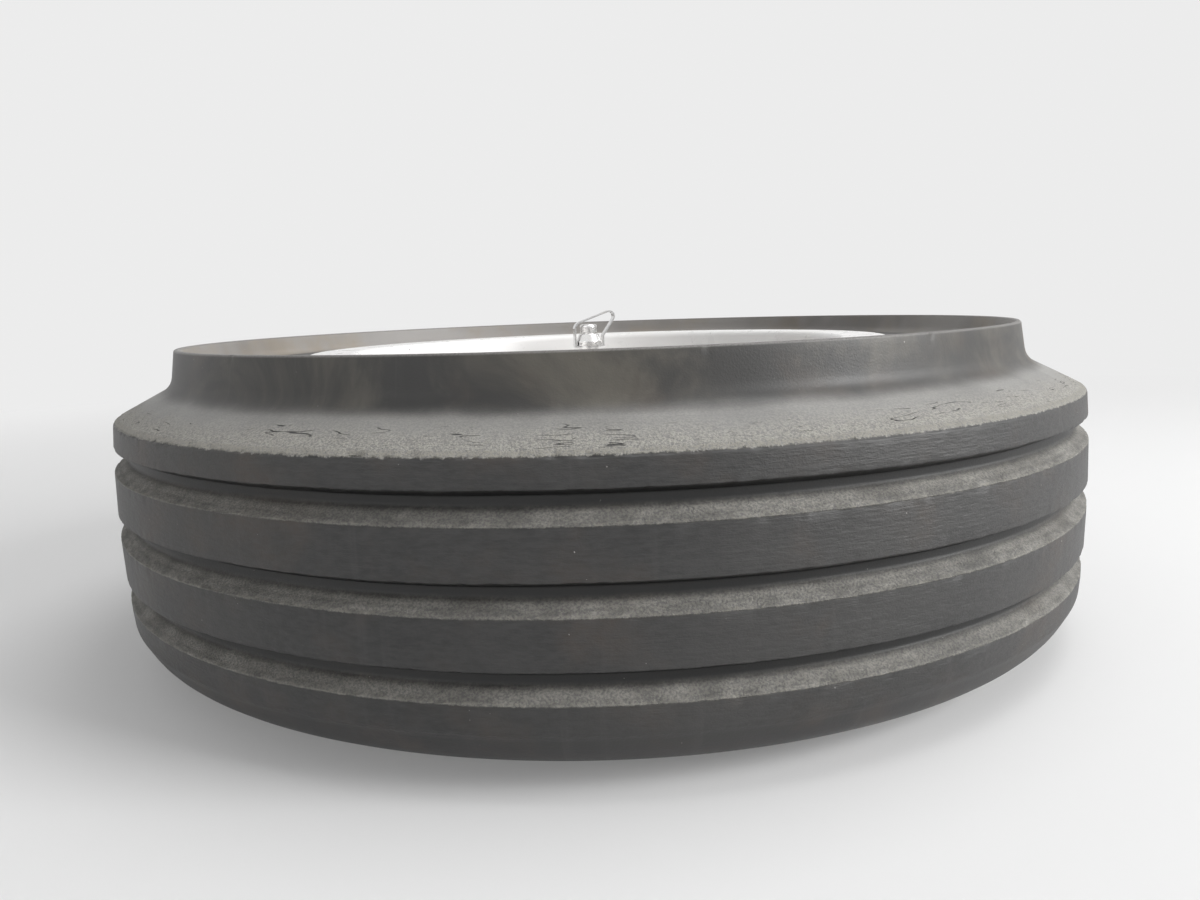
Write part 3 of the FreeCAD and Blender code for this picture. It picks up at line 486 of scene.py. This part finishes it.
def tyre_zones(p):
    """Textures and masks that the tyre's colour and relief share. Radius and height, and so the
    limits given here, are in millimetres. A mask is 1 on its own part and 0 elsewhere."""
    z = SimpleNamespace()
    z.radius, z.height = p.ring()
    z.clouds = p.noise(9.0, 4.0, 0.6)
    z.blotches = p.noise(28.0, 4.0, 0.6)
    z.sand = p.noise(1250.0, 3.0, 0.7)
    z.grains = p.noise(1700.0, 2.0, 0.6)
    z.scuffs = p.noise(1.0, 4.0, 0.65, place=p.around(640.0, 44.0))
    ragged = p.product(p.sum(p.noise(380.0, 3.0, 0.65), -0.5), 2.6)
    drift = p.product(p.sum(p.noise(45.0, 3.0, 0.6), -0.5), 12.0)

    # the shoulder cone: bloom all over it, grit on its outer part, cracks in the grit
    above_edge = p.ramp(p.sum(z.height, ragged), 41.7, 42.3)
    z.bloom = p.product(p.ramp(p.sum(z.radius, p.product(drift, 0.3)), 202.2, 209.0), above_edge)
    z.gritty = p.product(p.ramp(p.sum(z.radius, drift), 209.0, 221.0), above_edge)
    wander = p.size(p.sum(p.noise(1.0, 1.6, 0.5, place=p.around(620.0, 8.0)), -0.5))
    torn = p.product(p.ramp(p.noise(90.0, 2.0, 0.5), 0.53, 0.6), p.ramp(z.gritty, 0.1, 0.4))
    torn = p.product(torn, p.ramp(z.radius, 222.5, 220.5))
    z.crack = p.product(p.ramp(wander, 0.003, 0.018, 1.0, 0.0), torn)

    # the ribs and the grooves, by the height from the nearest groove's centre
    z.ribs = p.product(p.ramp(z.radius, 223.5, 225.0), p.ramp(z.height, 41.8, 41.0))
    limits = {0: z.height, 1: GROOVE_PITCH / 2, 2: -GROOVE_PITCH / 2}
    level = p.node("ShaderNodeMath", limits, operation="WRAP").outputs[0]
    level = p.sum(level, p.product(ragged, 0.3))
    tread = p.only(z.height, TREAD_END_HEIGHT, -TREAD_END_HEIGHT, 1.0)
    z.wall = p.product(p.ramp(level, -5.9, -5.5), p.ramp(level, 0.4, -2.6), tread)
    # painted shade: each groove's floor and upper wall, under the rib above, darkened as if in
    # shadow
    z.hollow = p.product(p.ramp(level, -2.4, 0.6), p.ramp(level, 5.4, 5.0), tread)
    # the worn crest where each groove's lower wall meets the rib: scuffing, partly painted highlight
    z.crest = p.product(p.only(level, -5.7, -5.0, 0.3), tread)
    return z


def rubber_base(p, z):
    """Black rubber with brown and grey stains, the chine's dust and the tan wall inside it."""
    colour = p.mix(p.ramp(z.clouds, 0.35, 0.68), grey(0.023), grey(0.044, 0.03))
    colour = p.mix(p.ramp(z.blotches, 0.48, 0.75, 0.0, 0.6), colour, BROWN_STAIN)
    streaks = p.noise(1.0, 3.0, 0.6, place=p.around(12.0, 40.0))
    colour = p.mix(p.ramp(streaks, 0.55, 0.8, 0.0, 0.3), colour, grey(0.085, 0.04))
    chine = p.product(p.ramp(z.radius, 208.0, 202.0), p.ramp(z.radius, 196.5, 197.5))
    mottle = p.ramp(p.noise(17.0, 5.0, 0.62, distortion=0.6), 0.42, 0.66, 0.05, 0.75)
    colour = p.mix(p.product(chine, mottle), colour, CHINE_DUST)
    inner = p.product(p.ramp(z.radius, 198.0, 196.8), p.ramp(z.height, 56.0, 60.0))
    tan = p.mix(p.ramp(z.blotches, 0.4, 0.7), grey(0.29, 0.05), TAN_WALL)
    tan = p.mix(p.ramp(z.radius, 193.0, 186.0), tan, grey(0.075, 0.03))
    return p.mix(p.product(inner, p.ramp(z.clouds, 0.3, 0.6, 0.5, 0.95)), colour, tan)


def rubber_dust_and_painted_light(p, z, colour):
    """Pale dust on the cone and in the grooves, painted shade in the groove floors, a pale line
    along the edges that is partly scuff and partly painted highlight, and a paler, scuffed lip top.
    """
    bloom = p.mix(p.ramp(z.sand, 0.3, 0.7), grey(0.24, 0.02), PALE_BLOOM)
    colour = p.mix(p.product(z.bloom, p.ramp(z.blotches, 0.3, 0.65, 0.75, 0.95)), colour, bloom)
    dust = p.mix(p.ramp(z.sand, 0.36, 0.62), grey(0.21, 0.03), SANDY_DUST)
    colour = p.mix(p.product(z.gritty, p.ramp(z.sand, 0.3, 0.5, 0.3, 0.9)), colour, dust)
    patchy = p.ramp(p.noise(60.0, 3.0, 0.6), 0.3, 0.7, 0.5, 0.9)
    colour = p.mix(p.product(z.wall, patchy), colour, dust)
    # painted shade: near-black over the groove floors and upper walls
    colour = p.mix(p.product(z.hollow, 0.9), colour, grey(0.008))
    # pale line along the shoulder's edge and the groove crests: scuffing, partly painted highlight
    edge = p.product(p.only(z.height, 42.3, 43.3, 0.7), p.ramp(z.radius, 221.0, 223.0))
    edge = p.product(p.sum(edge, p.product(z.crest, 0.7)), p.ramp(z.sand, 0.35, 0.6))
    colour = p.mix(p.product(edge, 0.75), colour, SCUFFED_EDGE_AND_HIGHLIGHT)
    lip = p.product(p.ramp(z.height, 69.6, 70.3), p.ramp(z.grains, 0.3, 0.6, 0.4, 0.9))
    return p.mix(lip, colour, grey(0.19, 0.04))


def rubber_marks(p, z, colour):
    """Small pale specks, dark cracks, and scuffs along the ribs."""
    specks = p.ramp(p.noise(820.0, 1.0, 0.4), 0.815, 0.83)
    colour = p.mix(p.product(specks, p.ramp(z.blotches, 0.45, 0.6)), colour, grey(0.45, 0.05))
    colour = p.mix(z.crack, colour, grey(0.03))
    return p.mix(p.product(z.ribs, p.ramp(z.scuffs, 0.3, 0.7, 0.0, 0.5)), colour, grey(0.056, 0.02))


def rubber_relief(p, z):
    """Feathered wear round the ribs, and over it the grit and the cracks."""
    fine = p.noise(1300.0, 3.0, 0.6)
    lines = p.noise(1.0, 2.0, 0.5, place=p.around(1300.0, 9.0))
    feather = p.product(p.sum(p.product(lines, 0.3), z.scuffs), p.sum(p.product(z.ribs, 0.8), 0.05))
    normal = p.bump(p.sum(p.product(fine, 0.18), feather), 0.6 * MM, 0.7)
    rough_parts = p.sum(p.product(z.gritty, 0.75), p.product(z.wall, 0.7), 0.05)
    grit = p.product(p.sum(z.sand, p.product(z.grains, 0.5)), rough_parts)
    return p.bump(p.sum(grit, p.product(z.crack, -0.8)), 0.6 * MM, 0.9, normal)


def tyre_rubber():
    """Aged black rubber: satin chine, chalky gritty cone and grooves, brown and pale stains, painted
    shade in the groove floors and a partly painted highlight along the edges.
    """
    p = Paint("aged_tyre_rubber_with_painted_light")
    z = tyre_zones(p)
    colour = rubber_marks(p, z, rubber_dust_and_painted_light(p, z, rubber_base(p, z)))
    chalky = p.product(p.larger(z.gritty, z.wall), 0.28)
    roughness = p.sum(chalky, p.ramp(z.clouds, 0.3, 0.7, 0.42, 0.54))
    return p.finish(colour, roughness, rubber_relief(p, z))


def white_enamel():
    """Gloss white enamel on a casting, with faint orange peel, grime and a few chips."""
    p = Paint("white_enamel")
    clouds = p.noise(16.0, 4.0, 0.6)
    grime = p.noise(60.0, 5.0, 0.7)
    colour = p.mix(p.ramp(clouds, 0.4, 0.7), grey(0.86, 0.01), grey(0.81, 0.02))
    colour = p.mix(p.ramp(grime, 0.62, 0.8, 0.0, 0.4), colour, grey(0.45, 0.1))
    chips = p.ramp(p.noise(210.0, 4.0, 0.7), 0.7, 0.72)
    colour = p.mix(chips, colour, grey(0.28, 0.03))
    peel = p.noise(420.0, 2.0, 0.5)
    normal = p.bump(p.sum(p.product(peel, 0.3), p.product(chips, -0.7)), 0.12 * MM, 0.5)
    return p.finish(colour, p.ramp(grime, 0.3, 0.8, 0.24, 0.5), normal)


def metal(name, colour, roughness, stain, brushed):
    """A worn metal: base colour, stains of a second colour, and a turned or ground grain."""
    p = Paint(name)
    clouds = p.noise(120.0, 4.0, 0.65)
    shade = p.mix(p.ramp(clouds, 0.45, 0.75, 0.0, 0.7), colour, stain)
    grain = p.noise(1.0, 2.0, 0.5, place=p.around(5200.0, 30.0))
    specks = p.noise(1500.0, 2.0, 0.6)
    relief = p.sum(p.product(grain, brushed), p.product(specks, 0.25))
    rough = p.ramp(clouds, 0.3, 0.75, roughness, roughness + 0.2)
    return p.finish(shade, rough, p.bump(relief, 0.08 * MM, 0.5), 1.0)


def moulded_rubber():
    """Clean black rubber with a little dust, for the seals and the gasket."""
    p = Paint("moulded_rubber")
    clouds = p.noise(80.0, 4.0, 0.6)
    dust = p.noise(900.0, 3.0, 0.7)
    colour = p.mix(p.ramp(clouds, 0.4, 0.7), grey(0.018), grey(0.035, 0.04))
    colour = p.mix(p.ramp(dust, 0.62, 0.8, 0.0, 0.5), colour, grey(0.12, 0.05))
    return p.finish(colour, p.ramp(dust, 0.3, 0.7, 0.45, 0.65), p.bump(dust, 0.1 * MM, 0.4))


def studio_paper():
    """Pale paper that keeps the wheel's shadow near it and glows evenly further off."""
    p = Paint("studio_paper")
    tooth = p.noise(900.0, 3.0, 0.6)
    p.finish(grey(PAPER), 0.9, p.bump(tooth, 0.1 * MM, 0.2))
    radius, _ = p.ring()
    path = p.node("ShaderNodeLightPath").outputs
    seen = p.larger(path["Is Camera Ray"], path["Is Glossy Ray"])
    share = p.product(seen, p.ramp(radius, GLOW_START, GLOW_END, GLOW_NEAR, GLOW_FAR))
    glow = p.node("ShaderNodeEmission", {"Color": grey(PAPER), "Strength": 1.0})
    blend = p.node("ShaderNodeMixShader", {0: share, 1: p.shader.outputs[0], 2: glow.outputs[0]})
    p.put(blend.outputs[0], p.tree.nodes["Material Output"].inputs["Surface"])
    return p.material


def dress(materials, nodes):
    """Gives every CAD node the material of its kind."""
    for node, name in nodes.items():
        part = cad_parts[node]
        part.data.materials.clear()
        part.data.materials.append(materials[name])


def node_finishes():
    """CAD node to finish, for every node but the tyre."""
    finishes = {
        "outboard_wheel_half": "enamel", "inboard_wheel_half": "enamel",
        "wheel_half_seal": "rubber", "valve_gasket": "rubber",
        "tie_bolts": "plated", "bolt_washers": "plated", "nut_washers": "plated",
        "tie_nuts": "plated", "valve_stem": "bright", "valve_collar": "bright",
        "valve_cap": "bright", "valve_cap_loop": "strip", "valve_core": "brass",
        "valve_core_pin": "brass",
    }
    for side in ("outboard", "inboard"):
        finishes.update({
            side + "_bearing_cup": "ground", side + "_bearing_cone": "ground",
            side + "_bearing_rollers": "ground", side + "_bearing_cage": "pressed",
            side + "_grease_seal": "rubber", side + "_retaining_ring": "phosphated",
        })
    return finishes


def make_materials():
    """Finish to material, for every node but the tyre."""
    return {
        "enamel": white_enamel(),
        "rubber": moulded_rubber(),
        "plated": metal("plated_steel", grey(0.50, 0.12), 0.38, grey(0.30, 0.16), 0.3),
        "ground": metal("ground_steel", grey(0.55), 0.2, grey(0.34, 0.12), 0.6),
        "pressed": metal("pressed_steel", grey(0.34, 0.02), 0.35, grey(0.2, 0.12), 0.2),
        "phosphated": metal("phosphated_steel", grey(0.12), 0.5, grey(0.07, 0.08), 0.2),
        "bright": metal("bright_plate", grey(0.86, 0.01), 0.16, grey(0.62, 0.06), 0.15),
        "strip": metal("rolled_strip", grey(0.74), 0.14, grey(0.5, 0.05), 0.25),
        "brass": metal("turned_brass", BRASS, 0.25, grey(0.3, 0.3), 0.5),
    }


# ---------------------------------------------------------------------------------------------
# Camera, light and floor


def make_camera():
    """Looks across the wheel from just above the lip, as close as the wide view needs."""
    yaw, pitch, roll = (math.radians(a) for a in (CAMERA_YAW, CAMERA_PITCH, CAMERA_ROLL))
    ahead = Vector((math.sin(yaw), math.cos(yaw), 0))
    level = Vector((math.cos(yaw), -math.sin(yaw), 0))
    up = Vector((0, 0, math.cos(pitch))) + ahead * math.sin(pitch)
    view = ahead * math.cos(pitch) - Vector((0, 0, math.sin(pitch)))
    right = level * math.cos(roll) + up * math.sin(roll)
    top = up * math.cos(roll) - level * math.sin(roll)
    camera = bpy.data.cameras.new("camera")
    camera.lens = LENS
    camera.sensor_width = SENSOR_WIDTH
    camera.clip_start = CLIP_START
    holder = bpy.data.objects.new("camera", camera)
    axes = Matrix((right, top, -view)).transposed().to_4x4()
    holder.matrix_world = Matrix.Translation((0, -CAMERA_DISTANCE, CAMERA_HEIGHT)) @ axes
    bpy.context.scene.collection.objects.link(holder)
    bpy.context.scene.camera = holder


def make_lamp(name, place, size, power):
    """A rectangular lamp turned towards the wheel."""
    lamp = bpy.data.lights.new(name, "AREA")
    lamp.shape = "RECTANGLE"
    lamp.size, lamp.size_y = size
    lamp.energy = power
    holder = bpy.data.objects.new(name, lamp)
    holder.location = place
    aim = Vector(LAMP_TARGET) - Vector(place)
    holder.rotation_euler = aim.to_track_quat("-Z", "Y").to_euler()
    bpy.context.scene.collection.objects.link(holder)


def make_world():
    """An even light, which the camera and the reflections see brighter than it shines."""
    world = bpy.data.worlds.new("studio")
    world.use_nodes = True
    tree = world.node_tree
    glow = tree.nodes["Background"]
    glow.inputs["Color"].default_value = grey(1.0)
    path = tree.nodes.new("ShaderNodeLightPath")
    seen = tree.nodes.new("ShaderNodeMath")
    seen.operation = "MAXIMUM"
    tree.links.new(path.outputs["Is Camera Ray"], seen.inputs[0])
    tree.links.new(path.outputs["Is Glossy Ray"], seen.inputs[1])
    strength = tree.nodes.new("ShaderNodeMapRange")
    strength.inputs["To Min"].default_value = WORLD_LIGHT
    strength.inputs["To Max"].default_value = WORLD_SEEN
    tree.links.new(seen.outputs[0], strength.inputs["Value"])
    tree.links.new(strength.outputs["Result"], glow.inputs["Strength"])
    bpy.context.scene.world = world


def make_floor():
    """A sheet of pale paper that curves up behind the wheel on every side."""
    rings = [(radius, 0.0) for radius in FLOOR_RINGS]
    for i in range(1, COVE_STEPS + 1):
        a = math.radians(90 * i / COVE_STEPS)
        rings.append((FLOOR_RINGS[-1] + COVE_RADIUS * math.sin(a), COVE_RADIUS * (1 - math.cos(a))))
    rings.append((FLOOR_RINGS[-1] + COVE_RADIUS, WALL_TOP))
    places, faces = [(0, 0, 0)], []
    for radius, height in rings:
        for i in range(FLOOR_STEPS):
            a = 2 * math.pi * i / FLOOR_STEPS
            places.append((radius * math.cos(a), radius * math.sin(a), height))
    for i in range(FLOOR_STEPS):
        faces.append((0, 1 + i, 1 + (i + 1) % FLOOR_STEPS))
    for ring in range(len(rings) - 1):
        low, high = 1 + ring * FLOOR_STEPS, 1 + (ring + 1) * FLOOR_STEPS
        for i in range(FLOOR_STEPS):
            j = (i + 1) % FLOOR_STEPS
            faces.append((low + i, high + i, high + j, low + j))
    mesh = bpy.data.meshes.new("floor")
    mesh.from_pydata(places, [], faces)
    mesh.polygons.foreach_set("use_smooth", np.ones(len(mesh.polygons), bool))
    mesh.materials.append(studio_paper())
    floor = bpy.data.objects.new("floor", mesh)
    bpy.context.scene.collection.objects.link(floor)


def main():
    dress(make_materials(), node_finishes())
    rubber = tyre_rubber()
    for name, corners, columns in (
        ("tyre_shoulder", shoulder_band(), SHOULDER_COLUMNS),
        ("tyre_tread", tread_band(), TREAD_COLUMNS),
        ("tyre_carcass", carcass_band(), CARCASS_COLUMNS),
    ):
        band = make_band(name, corners, columns)
        band.data.materials.append(rubber)
        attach(band, "wheel")
        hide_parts("tyre")
    make_floor()
    for lamp in LAMPS:
        make_lamp(*lamp)
    make_world()
    make_camera()
    bpy.context.scene.view_settings.view_transform = "Standard"


main()
